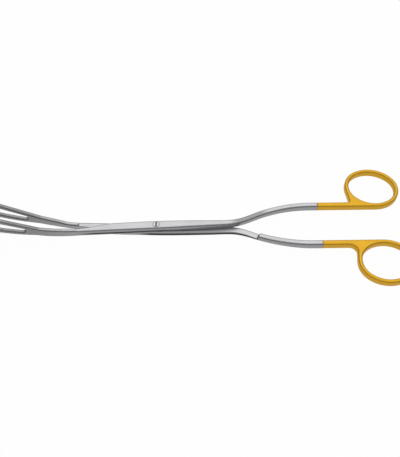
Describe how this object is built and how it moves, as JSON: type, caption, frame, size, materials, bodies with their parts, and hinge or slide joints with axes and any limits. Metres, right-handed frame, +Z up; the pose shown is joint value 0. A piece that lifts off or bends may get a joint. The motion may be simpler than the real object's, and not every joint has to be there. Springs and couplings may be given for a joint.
{
  "type": "placenta forceps",
  "caption": "Long ring-handled surgical forceps with upward-curved fenestrated loop jaws, crossed on a slotted screw, with gold-plated finger rings.",
  "frame": {"origin": "on the joint screw's axis, on the flat underside of the rear half, which lies on the table", "axes": "+X from the screw to the finger rings, +Y across the instrument to the front half's ring, +Z up along the screw to its slotted head"},
  "size_m": [0.2797, 0.0891, 0.0304],
  "materials": {
    "satin_steel": "satin",
    "gold_plating": "satin gold-coloured plating on steel",
    "screw_steel": "satin"
  },
  "bodies": {
    "rear": {"rear_half": "satin_steel", "rear_ring_handle": "gold_plating", "joint_screw": "screw_steel"},
    "front": {"front_half": "satin_steel", "front_ring_handle": "gold_plating"}
  },
  "joints": [
    {"name": "jaw_hinge", "type": "hinge", "parent": "rear", "child": "front", "pos_m": [0, 0, 0.0043], "axis": [0, 0, 1], "range_deg": [-5, 40]}
  ]
}
